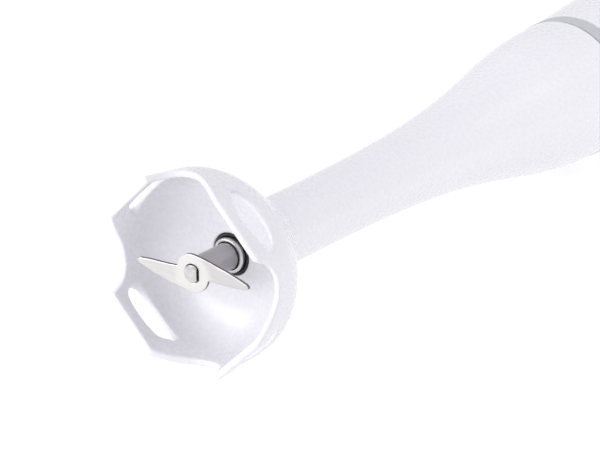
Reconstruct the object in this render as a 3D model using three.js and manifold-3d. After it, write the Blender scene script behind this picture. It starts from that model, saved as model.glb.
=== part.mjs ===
// An immersion blender: a motor body with a detachable plastic stick that ends in a slotted guard bell.
// Millimetres, +Z up. The blender lies on its back with its long axis along +X, the bell at the -X end.
// Inside the group, x runs along the blade axis from the bell's rim, and y and z are measured from that axis.
import * as THREE from 'three';
import { mergeVertices } from 'three/addons/utils/BufferGeometryUtils.js';
import Module from 'manifold-3d';

const wasm = await Module();
wasm.setup();

// Driving dimensions
const LENGTH = 385;
const REST_DEPTH = 30.7;
const GAP = 0.3;
const BELL_RADIUS = 31.5;
const BELL_TOP = 38;
const BELL_BORE = 11.3;
const BELL_WALL = 2.3;
const FLAT_REACH = 29.66;
const SEAL_BORE = 6.7;
const ROOF_X = 22.4;
const SOCKET_X = 29;
const FOOT_COUNT = 4;
const BLADE_X = 4.9;
const BLADE_THICKNESS = 1;
const HUB_RADIUS = 5.95;
const STUD_X = 3.9;
const STUD_RADIUS = 2.7;
const STUD_FLAT = 1.95;
const STUD_CHAMFER = 0.35;
const SHAFT_RADIUS = 2.6;
const SLEEVE_RADIUS = 4.2;
const STICK_WALL = 2.3;
const STICK_TOP = 205.3;
const COLLAR_TOP = 211.6;
const HOUSING_START = COLLAR_TOP + GAP;
const HOUSING_END = 358;
const HANDLE_END = 381;
const DOME_START = 352;
const DOME_POWER = 2.6;
const HOUSING_WALL = 3;
const PAD_DEPTH = 1.4;
const CAN_RADIUS = 18.5;
const CAN_START = 231.5;
const CAN_END = 285;
const RELEASE_X = 221;
const RELEASE_ARM_Y = 18;
const BUTTON_X = [320, 341];
const BUTTON_RISE = 1.2;
const BOARD_Z = 7;
const BOARD_THICKNESS = 1.6;
const SCREW_PLACES = [[300, -19.5], [300, 19.5], [351.5, -13], [351.5, 13]];

// Outer radius of the stick, and half width, height and depth of the handle, each as [x, size]
const STICK_RADII = [[45, 10.87], [70, 10.96], [100, 11.79], [125, 13.55], [145, 16.18], [160, 18.85],
  [175, 21.81], [190, 23.89], [205, 24.76], [220, 25.3]];
const HALF_WIDTHS = [[212, 25.05], [225, 25.7], [245, 26.5], [270, 26.9], [300, 26.4], [330, 25.2], [352, 24]];
const HEIGHTS = [[212, 25.05], [225, 25.8], [245, 26.9], [270, 27.6], [300, 27.2], [330, 26], [352, 24.6]];
const DEPTHS = [[212, 25.05], [225, 26.6], [245, 29.4], [262, 31.4], [285, 32.2], [305, 31.2], [325, 29.2],
  [340, 27.4], [352, 26]];
const SQUARENESS = [[212, 2], [260, 2.3], [352, 2.3]];
const HANDLE_STATIONS = [HOUSING_START, 226, 242, 258, 272, 286, 300, 318, 336, 352, 362, 369.5, 375, 379,
  HANDLE_END];
const HANDLE_SIDES = 36;

// Finishes
const finish = (color, roughness, metalness = 0) =>
  new THREE.MeshStandardMaterial({ color, roughness, metalness });
const WHITE = finish(0xf4f4f6, 0.22);
const PALE_GREY = finish(0xc3c6cb, 0.45);
const GRIP_GREY = finish(0x9a9ea5, 0.8);
const BLACK_RUBBER = finish(0x1c1c1e, 0.75);
const POLISHED_STEEL = finish(0xd6d3cf, 0.22, 1);
const SATIN_STEEL = finish(0x9a969c, 0.42, 1);
const BRONZE = finish(0xa8794a, 0.5, 1);
const COPPER = finish(0xb4653a, 0.35, 1);
const ZINC_STEEL = finish(0xb9bcc0, 0.38, 1);
const FERRITE = finish(0x3a3a3d, 0.7);
const CARBON = finish(0x27272a, 0.6);
const NYLON = finish(0xe6e2d6, 0.5);
const DARK_PLASTIC = finish(0x33363b, 0.5);
const BOARD_GREEN = finish(0x2f6b45, 0.55);

// Smooth value through a table of [x, value] rows, with level ends
function smoothAt(table, x) {
  const last = table.length - 1;
  if (x <= table[0][0]) return table[0][1];
  if (x >= table[last][0]) return table[last][1];
  const i = table.findIndex((row) => row[0] > x) - 1;
  const slope = (k) => {
    const before = table[Math.max(k - 1, 0)];
    const after = table[Math.min(k + 1, last)];
    return (after[1] - before[1]) / (after[0] - before[0]);
  };
  const width = table[i + 1][0] - table[i][0];
  const t = (x - table[i][0]) / width;
  const rise = table[i + 1][1] - table[i][1];
  const ease = t * t * (3 - 2 * t);
  return table[i][1] + rise * ease + width * t * (1 - t) * (slope(i) * (1 - t) - slope(i + 1) * t);
}

// A closed three.js geometry as a manifold solid, with its faces turned outwards
function solidOf(geometry) {
  const bare = geometry.index ? geometry.toNonIndexed() : geometry.clone();
  bare.deleteAttribute('normal');
  bare.deleteAttribute('uv');
  const merged = mergeVertices(bare, 1e-4);
  const places = merged.attributes.position;
  const corner = (k) => new THREE.Vector3().fromBufferAttribute(places, k);
  const faces = [];
  let volume = 0;
  for (let k = 0; k < merged.index.count; k += 3) {
    const [a, b, c] = [0, 1, 2].map((step) => merged.index.getX(k + step));
    if (a === b || b === c || c === a) continue;
    faces.push([a, b, c]);
    volume += corner(a).dot(corner(b).cross(corner(c)));
  }
  const order = volume < 0 ? [0, 2, 1] : [0, 1, 2];
  const triVerts = new Uint32Array(faces.flatMap((face) => order.map((k) => face[k])));
  return new wasm.Manifold(new wasm.Mesh({ numProp: 3, vertProperties: places.array, triVerts }));
}

// A manifold solid as a three.js geometry
function geometryOf(solid) {
  const mesh = solid.getMesh();
  const geometry = new THREE.BufferGeometry();
  geometry.setAttribute('position', new THREE.BufferAttribute(mesh.vertProperties, 3));
  geometry.setIndex(new THREE.BufferAttribute(mesh.triVerts, 1));
  geometry.computeVertexNormals();
  return geometry;
}

const joined = (solids) => solids.reduce((sum, solid) => sum.add(solid));
const cut = (solid, tools) => tools.reduce((rest, tool) => rest.subtract(tool), solid);

// A profile of [x, radius] points turned about the x axis: open profiles start and end on the axis
function turned(profile, sides = 16) {
  const closed = profile[0][1] > 0;
  const points = closed ? [...profile, profile[0]] : profile;
  const outline = points.map(([x, radius]) => new THREE.Vector2(radius, x));
  return solidOf(new THREE.LatheGeometry(outline, sides).rotateZ(-Math.PI / 2));
}

const ring = (x0, x1, inner, outer, sides = 16) =>
  turned([[x0, inner], [x0, outer], [x1, outer], [x1, inner]], sides);
const rod = (x0, x1, radius, sides = 16) => turned([[x0, 0], [x0, radius], [x1, radius], [x1, 0]], sides);

function block(x, y, z) {
  const size = [x, y, z].map(([low, high]) => high - low);
  const middle = [x, y, z].map(([low, high]) => (high + low) / 2);
  return solidOf(new THREE.BoxGeometry(...size).translate(...middle));
}

// A flat outline in y and z, extruded along x
const acrossX = new THREE.Matrix4().makeBasis(
  new THREE.Vector3(0, 1, 0), new THREE.Vector3(0, 0, 1), new THREE.Vector3(1, 0, 0));
function plate(shape, x0, x1, curveSegments = 8) {
  const geometry = new THREE.ExtrudeGeometry(shape, { depth: x1 - x0, bevelEnabled: false, curveSegments });
  return solidOf(geometry.applyMatrix4(acrossX).translate(x0, 0, 0));
}

// An oval post along z, or along y when it is turned on its side
function post(x, y, [z0, z1], halfX, halfY, sides = 28) {
  const shape = new THREE.Shape().absellipse(x, y, halfX, halfY, 0, 2 * Math.PI);
  const geometry = new THREE.ExtrudeGeometry(shape, {
    depth: z1 - z0, bevelEnabled: false, curveSegments: sides });
  return solidOf(geometry.translate(0, 0, z0));
}
const sidePost = (x, z, [y0, y1], halfX, halfZ, sides = 28) =>
  post(x, -z, [y0, y1], halfX, halfZ, sides).rotate([-90, 0, 0]);

// A skin through rings of points, closed with a flat face at each end
function loft(rings) {
  const sides = rings[0].length;
  const points = rings.flat();
  const faces = [];
  for (let r = 0; r + 1 < rings.length; r += 1) {
    for (let s = 0; s < sides; s += 1) {
      const [a, b] = [r * sides + s, r * sides + (s + 1) % sides];
      faces.push(a, b, a + sides, b, b + sides, a + sides);
    }
  }
  for (const [first, flip] of [[0, true], [(rings.length - 1) * sides, false]]) {
    for (let s = 1; s + 1 < sides; s += 1) {
      faces.push(first, ...(flip ? [first + s + 1, first + s] : [first + s, first + s + 1]));
    }
  }
  const geometry = new THREE.BufferGeometry().setFromPoints(points);
  geometry.setIndex(faces);
  return solidOf(geometry);
}

// The handle's outside, drawn in by an inset: a rounded oval with a flat back and a domed end
function handleRing(x, inset) {
  const along = Math.max(0, (x - DOME_START) / (HANDLE_END - inset - DOME_START));
  const taper = Math.max((1 - Math.min(along, 1) ** DOME_POWER) ** (1 / DOME_POWER), 0.02);
  const power = 2 / smoothAt(SQUARENESS, x);
  const [half, high, deep] = [HALF_WIDTHS, HEIGHTS, DEPTHS].map((table) => (smoothAt(table, x) - inset) * taper);
  const points = [];
  for (let k = 0; k < HANDLE_SIDES; k += 1) {
    const angle = (2 * Math.PI * k) / HANDLE_SIDES;
    const [across, up] = [Math.sin(angle), Math.cos(angle)];
    const y = half * Math.sign(across) * Math.abs(across) ** power;
    const z = (up > 0 ? high : deep) * Math.sign(up) * Math.abs(up) ** power;
    points.push(new THREE.Vector3(x, y, Math.max(z, inset - REST_DEPTH)));
  }
  return points;
}

function handleSolid(inset, stations = HANDLE_STATIONS) {
  const end = HANDLE_END - inset;
  const kept = stations.filter((x) => x < end - 1);
  return loft([...kept, end].map((x) => handleRing(x, inset)));
}

const blender = new THREE.Group();
blender.position.set(-LENGTH / 2, 0, REST_DEPTH);

function addPart(name, solid, material) {
  const mesh = new THREE.Mesh(geometryOf(solid), material);
  mesh.name = name;
  blender.add(mesh);
}

// ---- Guard bell: a dome on a short neck, with arches between four flat feet and a slot through each foot ----

// A solid that lies between two outlines, given point by point at its inner and its outer end
function between(innerPoints, outerPoints, flat) {
  const caps = THREE.ShapeUtils.triangulateShape(flat, []);
  const count = flat.length;
  const faces = [];
  for (const [a, b, c] of caps) faces.push(a, c, b, a + count, b + count, c + count);
  const turn = THREE.ShapeUtils.area(flat) > 0 ? 1 : -1;
  for (let k = 0; k < count; k += 1) {
    const next = (k + turn + count) % count;
    faces.push(k, next, next + count, k, next + count, k + count);
  }
  const geometry = new THREE.BufferGeometry().setFromPoints([...innerPoints, ...outerPoints]);
  geometry.setIndex(faces);
  return solidOf(geometry);
}

// Arch edge as [degrees from its middle, x], and a slot's outline as [distance along its flat, x]
const ARCH_EDGE = [[-26, -3], [-25.3, 0], [-19, 1.7], [-12.6, 3.7], [-6.4, 5.4], [-0.7, 6.7], [5.5, 7.2],
  [11, 7.15], [15, 6.4], [19, 5.3], [21, 4.2], [23.5, 2.3], [25.2, 0], [26, -3]];
const SLOT_INSIDE = [[-10, 7.1], [-9.2, 5.2], [-6.8, 3.8], [-2, 3.4], [3.2, 4.5], [8.2, 6.4], [11, 8.5],
  [10.2, 10.1], [6.5, 10.9], [-0.5, 11.3], [-6.5, 10.8], [-9.3, 9.1]];
const SLOT_OUTSIDE = [[-9.7, 7.2], [-8.7, 5.8], [-4.9, 4.8], [0.6, 3.9], [4.8, 4.2], [9, 5.6], [12.3, 7.8],
  [11, 9.6], [7.2, 11.2], [0.5, 11.6], [-5.4, 10.7], [-8.6, 9]];
const ARCH_REACH = [22, 38];
const SLOT_REACH = [26.4, 32.5];

function archCutter() {
  const layer = (radius) => ARCH_EDGE.map(([degrees, x]) => {
    const angle = THREE.MathUtils.degToRad(degrees);
    return new THREE.Vector3(x, radius * Math.sin(angle), radius * Math.cos(angle));
  });
  return between(...ARCH_REACH.map(layer), ARCH_EDGE.map(([degrees, x]) => new THREE.Vector2(degrees, x)));
}

function slotCutter() {
  const layer = (reach) => {
    const share = (reach - FLAT_REACH + BELL_WALL) / BELL_WALL;
    return SLOT_INSIDE.map(([along, x], k) => new THREE.Vector3(
      x + (SLOT_OUTSIDE[k][1] - x) * share, along + (SLOT_OUTSIDE[k][0] - along) * share, reach));
  };
  return between(...SLOT_REACH.map(layer), SLOT_INSIDE.map(([along, x]) => new THREE.Vector2(along, x)));
}

function guardBell() {
  const outside = [[0, BELL_RADIUS], [5, 30.9], [10, 30.2], [14, 29.7], [16.5, 28.9], [19.5, 27.3], [23, 24.7],
    [27, 21.5], [31, 18.3], [34.5, 16], [37, 13.8], [BELL_TOP, 12.4]];
  const bowl = [[ROOF_X, SEAL_BORE], [22.1, 12], [20.8, 18.5], [18.2, 24], [14.5, 27], [8, 28.3], [0, 29.2],
    [-1, 29.3]];
  const flats = (reach) => block([-2, BELL_TOP + 1], [-reach, reach], [-reach, reach]).rotate([45, 0, 0]);
  const body = turned([[0, 0], ...outside, [BELL_TOP, 0]], 44).intersect(flats(FLAT_REACH));
  const cutters = [
    turned([[ROOF_X, 0], ...bowl, [-1, 0]], 44).intersect(flats(FLAT_REACH - BELL_WALL)),
    rod(ROOF_X - 1, SOCKET_X + 1, SEAL_BORE, 44),
    rod(SOCKET_X, BELL_TOP + 1, BELL_BORE, 44),
  ];
  for (let k = 0; k < FOOT_COUNT; k += 1) {
    const quarter = (360 / FOOT_COUNT) * k;
    cutters.push(archCutter().rotate([-quarter, 0, 0]));
    cutters.push(slotCutter().rotate([-quarter - 180 / FOOT_COUNT, 0, 0]));
  }
  return cut(body, cutters);
}
addPart('guard_bell', guardBell(), WHITE);

// ---- Stick: a flared tube with the shaft's guide tube, its bearings and the ring the latches hold ----

const stickRadius = (x) => smoothAt(STICK_RADII, x);
const STICK_FOOT = SOCKET_X + GAP;
const STICK_BORE = 8.3;

function shankTube() {
  const stations = [70, 92, 112, 130, 147, 163, 177, 191];
  const outside = [[STICK_FOOT, 10.85], [45, 10.87], ...stations.map((x) => [x, stickRadius(x)]),
    [STICK_TOP, stickRadius(STICK_TOP)]];
  const inside = [STICK_TOP, 191, 177, 155, 130].map((x) => [x, stickRadius(x) - STICK_WALL]);
  return turned([...outside, ...inside, [105, STICK_BORE], [STICK_FOOT, STICK_BORE]], 36);
}
addPart('shank_tube', shankTube(), WHITE);

const PLATE_X = 184;
const GUIDE_OUTER = 7.2;
const GUIDE_INNER = 5.8;
addPart('shaft_guide_tube', ring(STICK_FOOT + GAP, PLATE_X - GAP, GUIDE_INNER, GUIDE_OUTER), ZINC_STEEL);

const BUSH_RADIUS = GUIDE_INNER - GAP;
const lowerBearing = turned([[20.9, 4.6], [20.9, 5.1], [21.3, BUSH_RADIUS], [40, BUSH_RADIUS], [40, 4.5],
  [21.2, 4.5]]);
addPart('lower_bearing', lowerBearing, POLISHED_STEEL);
addPart('shaft_seal', turned([[22.9, 5.9], [23.6, 6.4], [28.9, 6.4], [28.9, 5.8], [23.2, 5.8]]), BLACK_RUBBER);

// The plate that closes the stick's top and holds the upper bearing
const BEARING_BORE = 5.2;
const stickPlate = turned([[PLATE_X, 3.2], [PLATE_X, 20.4], [188, 20.4], [188, 9], [194, 9],
  [194, BEARING_BORE], [186.2, BEARING_BORE], [186.2, 3.2]], 24);
addPart('stick_plate', stickPlate, PALE_GREY);
addPart('upper_bearing', ring(186.5, 193.6, SHAFT_RADIUS + GAP, BEARING_BORE - GAP), BRONZE);
addPart('catch_ring', ring(200.8, 203.2, 20.8, 22, 32), ZINC_STEEL);

// ---- Blade: a two-wing blade on a long shaft, with the driven half of the coupler on top ----

function bladePlate() {
  const wing = [[0.8, -5.9], [8.5, -4.9], [13, -4.05], [17.4, -2.9], [20.4, -1.95], [21.1, -1.35], [21, -0.75],
    [19.9, -0.1], [16.4, 0.3], [8.5, 0.75], [5.87, 1]];
  const shape = new THREE.Shape();
  const [root, notch] = [wing[0], wing[wing.length - 1]];
  const hubStart = Math.atan2(notch[1], notch[0]);
  const hubEnd = Math.atan2(-root[1], -root[0]);
  for (const side of [1, -1]) {
    for (const [y, z] of wing) {
      if (shape.curves.length || side < 0) shape.lineTo(side * y, side * z);
      else if (y === root[0]) shape.moveTo(y, z);
      else shape.lineTo(y, z);
    }
    const turn = side > 0 ? 0 : Math.PI;
    shape.absarc(0, 0, HUB_RADIUS, hubStart + turn, hubEnd + turn, false);
  }
  const bore = new THREE.Path();
  bore.absarc(0, 0, STUD_RADIUS + GAP, 0, 2 * Math.PI, false);
  shape.holes.push(bore);
  return plate(shape, BLADE_X, BLADE_X + BLADE_THICKNESS, 10);
}
addPart('blade', bladePlate(), POLISHED_STEEL);

const SHOULDER_X = BLADE_X + BLADE_THICKNESS + GAP;
const COUPLER_X = 195;
function driveShaft() {
  const body = turned([[STUD_X, 0], [STUD_X, STUD_RADIUS - STUD_CHAMFER], [STUD_X + STUD_CHAMFER, STUD_RADIUS],
    [SHOULDER_X, STUD_RADIUS], [SHOULDER_X, SHAFT_RADIUS], [198, SHAFT_RADIUS], [198, 0]]);
  return body.subtract(block([STUD_X - 1, BLADE_X + BLADE_THICKNESS], [-5, -STUD_FLAT], [-5, 5]));
}
addPart('drive_shaft', driveShaft(), POLISHED_STEEL);
addPart('shaft_sleeve', turned([[SHOULDER_X + GAP, 2.9], [SHOULDER_X + GAP, 3.8], [SHOULDER_X + 0.7, SLEEVE_RADIUS],
  [42, SLEEVE_RADIUS], [42, 2.9]]), SATIN_STEEL);
addPart('thrust_washer', ring(42.3, 43.5, 2.9, 5.4), NYLON);
addPart('retaining_clip', ring(181, 182, 2.9, 4.6, 16), ZINC_STEEL);

// Hexagonal drive: the socket turns with the blade, the dog that fills it turns with the motor
const HEX = 6;
const SOCKET_RADIUS = 5.9;
const DOG_RADIUS = 5.4;
const stickCoupler = joined([rod(COUPLER_X, 204, 8)])
  .subtract(rod(198.2, 205, SOCKET_RADIUS, HEX))
  .subtract(rod(COUPLER_X - 1, 198.3, SHAFT_RADIUS + GAP));
addPart('stick_coupler', stickCoupler, DARK_PLASTIC);

// ---- Rotor: the motor's shaft and all that turns on it ----

const motorCoupler = joined([rod(198.8, 207, DOG_RADIUS, HEX), rod(206, 216, 6.5)]).subtract(rod(207, 217, 2.8));
addPart('motor_coupler', motorCoupler, DARK_PLASTIC);
const MOTOR_SHAFT_RADIUS = 2.5;
const ON_SHAFT = MOTOR_SHAFT_RADIUS + GAP;
addPart('motor_shaft', rod(207.3, 315, MOTOR_SHAFT_RADIUS), POLISHED_STEEL);

const CORE_RADIUS = 12.4;
function armatureCore() {
  const teeth = 8;
  const shape = new THREE.Shape();
  const step = (2 * Math.PI) / teeth;
  const outline = [[-0.4, CORE_RADIUS], [0, CORE_RADIUS], [0.4, CORE_RADIUS], [0.4, 11.2], [0.2, 10.8],
    [0.22, 7], [0.78, 7], [0.8, 10.8], [0.6, 11.2]];
  for (let k = 0; k < teeth; k += 1) {
    for (const [share, radius] of outline) {
      const angle = (k + share) * step;
      const point = [radius * Math.cos(angle), radius * Math.sin(angle)];
      if (k === 0 && share < 0) shape.moveTo(...point);
      else shape.lineTo(...point);
    }
  }
  shape.closePath();
  const bore = new THREE.Path();
  bore.absarc(0, 0, ON_SHAFT, 0, 2 * Math.PI, false);
  shape.holes.push(bore);
  return plate(shape, 243, 273, 8);
}
addPart('armature_core', armatureCore(), ZINC_STEEL);

const endTurns = (x, side) => turned([[x, 3.2], [x, 10.2], [x + side * 2, 11.3], [x + side * 5, 11],
  [x + side * 6.6, 8.8], [x + side * 6.6, 4.6], [x + side * 5.4, 3.2]], 14);
addPart('front_winding', endTurns(242.7, -1), COPPER);
addPart('rear_winding', endTurns(273.3, 1), COPPER);
addPart('commutator', ring(282, 292, ON_SHAFT, 6.5), COPPER);

function coolingFan() {
  const blades = 9;
  const disc = turned([[304, ON_SHAFT], [304, 15.5], [305, 15.5], [305, 5], [311, 5], [311, ON_SHAFT]], 20);
  const vanes = [];
  for (let k = 0; k < blades; k += 1) {
    const vane = block([304.5, 310.6], [-0.5, 0.5], [4.6, 15]);
    vanes.push(vane.rotate([(360 / blades) * k, 0, 0]));
  }
  return joined([disc, ...vanes]);
}
addPart('cooling_fan', coolingFan(), NYLON);

// ---- Motor: can, magnets, bearings, brush gear and the rings that hold it in the housing ----

addPart('motor_can', turned([[CAN_START, 5.5], [CAN_START, CAN_RADIUS], [CAN_END, CAN_RADIUS], [CAN_END, 17],
  [233, 17], [233, 5.5]], 28), ZINC_STEEL);

function magnet(direction) {
  const [inner, outer] = [13.1, 16.7];
  const spread = THREE.MathUtils.degToRad(60);
  const middle = (direction * Math.PI) / 2;
  const shape = new THREE.Shape();
  shape.absarc(0, 0, outer, middle - spread, middle + spread, false);
  shape.absarc(0, 0, inner, middle + spread, middle - spread, true);
  return plate(shape, 240, 276, 12);
}
addPart('upper_magnet', magnet(1), FERRITE);
addPart('lower_magnet', magnet(-1), FERRITE);
addPart('front_bearing', ring(229, 234.6, ON_SHAFT, 5.2), BRONZE);
addPart('rear_bearing', ring(295, 300.8, ON_SHAFT, 5.2), BRONZE);
addPart('motor_bracket', ring(228.4, CAN_START - GAP, 6.2, 21.6, 24), DARK_PLASTIC);
addPart('front_mount_ring', ring(236, 240, CAN_RADIUS + GAP + 0.2, 22.4, 24), BLACK_RUBBER);
addPart('rear_mount_ring', ring(276, 280, CAN_RADIUS + GAP + 0.2, 22.6, 24), BLACK_RUBBER);

function brushCarrier() {
  const cup = turned([[CAN_END + GAP, 17], [CAN_END + GAP, CAN_RADIUS], [296, CAN_RADIUS], [296, 7.6],
    [300.8, 7.6], [300.8, 5.5], [293.8, 5.5], [293.8, 17]], 28);
  const boxes = [-1, 1].map((side) => {
    const wide = [9, 17.5].map((y) => side * y).sort((a, b) => a - b);
    const open = [8, 16].map((y) => side * y).sort((a, b) => a - b);
    return block([285.6, 294.2], wide, [-4, 4]).subtract(block([287, 292.4], open, [-2.9, 2.9]));
  });
  return joined([cup, ...boxes]);
}
addPart('brush_carrier', brushCarrier(), DARK_PLASTIC);
for (const [name, side] of [['left', 1], ['right', -1]]) {
  const reach = [6.9, 15].map((y) => side * y).sort((a, b) => a - b);
  addPart(name + '_carbon_brush', block([287.4, 292], reach, [-2.5, 2.5]), CARBON);
}

// A round wire or lead swept along a path
function swept(path, radius, steps, sides = 6) {
  const section = new THREE.Shape();
  for (let k = 0; k < sides; k += 1) {
    const angle = (2 * Math.PI * k) / sides;
    const point = [radius * Math.cos(angle), radius * Math.sin(angle)];
    if (k) section.lineTo(...point);
    else section.moveTo(...point);
  }
  section.closePath();
  return solidOf(new THREE.ExtrudeGeometry(section, { steps, bevelEnabled: false, extrudePath: path }));
}
for (const [name, side] of [['left', 1], ['right', -1]]) {
  const route = [[315.5, 12.2, 5.2], [313, 15, 6.5], [309.5, 15, 9.5], [305, 14, 11.4], [300, 12.8, 12],
    [296.8, 10.4, 9.6]].map(([x, y, z]) => new THREE.Vector3(x, side * y, z));
  addPart(name + '_motor_lead', swept(new THREE.CatmullRomCurve3(route), 0.8, 10), BLACK_RUBBER);
}

// ---- Collar: the ring at the joint, its spigot goes into the stick and its slots let the latches through ----

const SPIGOT_RADIUS = 20.2;
function couplingCollar() {
  const body = turned([[197, 12], [197, SPIGOT_RADIUS], [203.3, SPIGOT_RADIUS], [203.3, 19.7],
    [STICK_TOP + GAP, 19.7], [STICK_TOP + GAP, 24.8], [206.4, 24.95], [COLLAR_TOP, 24.95], [COLLAR_TOP, 13.5],
    [224, 13.5], [224, 9], [212, 9], [209, 12]], 28);
  const slots = [-1, 1].map((side) => {
    const across = [15.4, 23].map((y) => side * y).sort((a, b) => a - b);
    const inner = [15.4, 21.6].map((y) => side * y).sort((a, b) => a - b);
    return joined([block([196, 204], across, [-6, 6]), block([203, 213], inner, [-6, 6])]);
  });
  return cut(body, slots);
}
addPart('coupling_collar', couplingCollar(), PALE_GREY);
const sealRing = new THREE.TorusGeometry(20.95, 0.75, 6, 32).rotateY(Math.PI / 2).translate(204.3, 0, 0);
addPart('joint_seal', solidOf(sealRing), BLACK_RUBBER);

// ---- Release buttons: a pad on each side with an arm and a hook that reach into the stick ----

const PAD_HALF = [6.8, 5.8];
for (const [name, side] of [['left', 1], ['right', -1]]) {
  const outward = (near, far) => [near, far].map((y) => side * y).sort((a, b) => a - b);
  const pad = sidePost(RELEASE_X, 0, outward(RELEASE_ARM_Y, 32), ...PAD_HALF, 6).intersect(handleSolid(-0.9));
  const arm = block([198, RELEASE_X], outward(RELEASE_ARM_Y, 19.6), [-3.5, 3.5]);
  const hook = block([198, 200.4], outward(19.4, 20.1), [-3.5, 3.5]);
  addPart(name + '_release_button', joined([pad, arm, hook]), PALE_GREY);
}

// A helical spring along z from z0 to z1, or along another axis once it is turned
function coilSpring(radius, wire, turns, z0, z1) {
  class Helix extends THREE.Curve {
    getPoint(t, target = new THREE.Vector3()) {
      const angle = 2 * Math.PI * turns * t;
      return target.set(radius * Math.cos(angle), radius * Math.sin(angle), z0 + (z1 - z0) * t);
    }
  }
  return swept(new Helix(), wire, 8 * turns, 4);
}
for (const [name, side] of [['left', 1], ['right', -1]]) {
  const spring = coilSpring(2.4, 0.3, 3, 14.2, RELEASE_ARM_Y - 0.7).rotate([-90 * side, 0, 0]);
  addPart(name + '_release_spring', spring.translate([RELEASE_X - 2, 0, 0]), ZINC_STEEL);
}

// ---- Speed buttons, each on a spring above its switch ----

const BUTTON_HALF = [7.6, 8];
const SWITCH_TOP = 15.4;
const CAP_UNDERSIDE = 20.4;
['low', 'high'].forEach((name, k) => {
  const x = BUTTON_X[k];
  const cap = post(x, 0, [CAP_UNDERSIDE, 32], ...BUTTON_HALF, 7).intersect(handleSolid(-BUTTON_RISE));
  const stem = post(x, 0, [17.9, CAP_UNDERSIDE + 1], 1.8, 1.8, 4);
  addPart(name + '_speed_button', joined([cap, stem]), PALE_GREY);
  const spring = coilSpring(3.2, 0.3, 3, SWITCH_TOP + 0.8, CAP_UNDERSIDE - 0.7);
  addPart(name + '_speed_spring', spring.translate([x, 0, 0]), ZINC_STEEL);
  const body = block([x - 6, x + 6], [-4.2, 4.2], [BOARD_Z + BOARD_THICKNESS + GAP, SWITCH_TOP]);
  addPart(name + '_speed_switch', body.add(post(x, 0, [SWITCH_TOP - 1, SWITCH_TOP + 0.3], 1.2, 1.2, 3)),
    DARK_PLASTIC);
});
addPart('circuit_board', block([313.5, 347.5], [-13, 13], [BOARD_Z, BOARD_Z + BOARD_THICKNESS]), BOARD_GREEN);
addPart('rectifier', block([326, 334], [5.4, 11.6], [BOARD_Z + BOARD_THICKNESS + GAP, 12]), DARK_PLASTIC);
addPart('capacitor', rod(322, 337, 4, 12).translate([0, 0, BOARD_Z - GAP - 4]), DARK_PLASTIC);

// ---- Housing: a front and a back shell, the button panel, the grip and the end cap ----

const outerShape = handleSolid(0);
const innerShape = handleSolid(HOUSING_WALL, [HOUSING_START - 3, 230, 255, 285, 315, 340, 356, 366, 373, 376.5]);
const recessFloor = handleSolid(PAD_DEPTH + GAP);
const shell = outerShape.subtract(innerShape);
const FAR = 60;

// A rounded rectangle in x and y, extruded between two heights
function roundedPost([x0, x1], half, radius, [z0, z1]) {
  const shape = new THREE.Shape();
  shape.moveTo(x0 + radius, -half);
  shape.absarc(x1 - radius, -half + radius, radius, -Math.PI / 2, 0, false);
  shape.absarc(x1 - radius, half - radius, radius, 0, Math.PI / 2, false);
  shape.absarc(x0 + radius, half - radius, radius, Math.PI / 2, Math.PI, false);
  shape.absarc(x0 + radius, -half + radius, radius, Math.PI, 1.5 * Math.PI, false);
  const geometry = new THREE.ExtrudeGeometry(shape, { depth: z1 - z0, bevelEnabled: false, curveSegments: 5 });
  return solidOf(geometry.translate(0, 0, z0));
}
const grown = ([low, high], by) => [low - by, high + by];

const PANEL = { x: [308, 354], half: 11, radius: 9 };
const GRIP = { x: [236, 338], half: 15.5, radius: 13 };
const TOPSIDE = [10, FAR];
const UNDERSIDE = [-FAR, -10];

const sideOpenings = [-1, 1].map((side) => sidePost(RELEASE_X, 0,
  [side * 17, side * 40].sort((a, b) => a - b), PAD_HALF[0] + GAP, PAD_HALF[1] + GAP, 7));
const buttonHoles = BUTTON_X.map((x) => post(x, 0, TOPSIDE, BUTTON_HALF[0] + GAP, BUTTON_HALF[1] + GAP, 8));

function screwBosses(radius, [z0, z1]) {
  return SCREW_PLACES.map(([x, y]) => post(x, y, [z0, z1], radius, radius, 4));
}

function housingFront() {
  const half = block([HOUSING_START - 1, HOUSING_END], [-FAR, FAR], [GAP / 2, FAR]);
  const bosses = joined(screwBosses(3, [GAP / 2, FAR])).intersect(handleSolid(1));
  const recess = roundedPost(grown(PANEL.x, GAP), PANEL.half + GAP, PANEL.radius, TOPSIDE).subtract(recessFloor);
  return cut(joined([shell.intersect(half), bosses]),
    [recess, ...buttonHoles, ...sideOpenings, ...screwBosses(1.75, [-5, 10])]);
}
addPart('housing_front', housingFront(), WHITE);

const HEAD_Z = -21;
const HEAD_HEIGHT = 1.8;
function housingBack() {
  const half = block([HOUSING_START - 1, HOUSING_END], [-FAR, FAR], [-FAR, -GAP / 2]);
  const bosses = joined(screwBosses(3.6, [-FAR, -GAP / 2])).intersect(handleSolid(1));
  const ribs = [316, 345].map((x) => block([x - 0.8, x + 0.8], [-16, 16], [-FAR, BOARD_Z - GAP])
    .subtract(block([x - 2, x + 2], [-12, 12], [-12, 12])).intersect(block([300, 350], [-16, 16], [-FAR, 0]))
    .intersect(handleSolid(1)));
  const recess = roundedPost(grown(GRIP.x, GAP), GRIP.half + GAP, GRIP.radius, UNDERSIDE).subtract(recessFloor);
  return cut(joined([shell.intersect(half), bosses, ...ribs]), [recess, ...sideOpenings,
    ...screwBosses(1.8, [-FAR, 5]), ...screwBosses(2.8, [-FAR, HEAD_Z + HEAD_HEIGHT + GAP])]);
}
addPart('housing_back', housingBack(), WHITE);

const padSkin = outerShape.subtract(handleSolid(PAD_DEPTH));
addPart('button_panel', cut(roundedPost(PANEL.x, PANEL.half, PANEL.radius, TOPSIDE).intersect(padSkin),
  buttonHoles), PALE_GREY);
addPart('rear_grip', roundedPost(GRIP.x, GRIP.half, GRIP.radius, UNDERSIDE).intersect(padSkin), GRIP_GREY);

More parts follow.
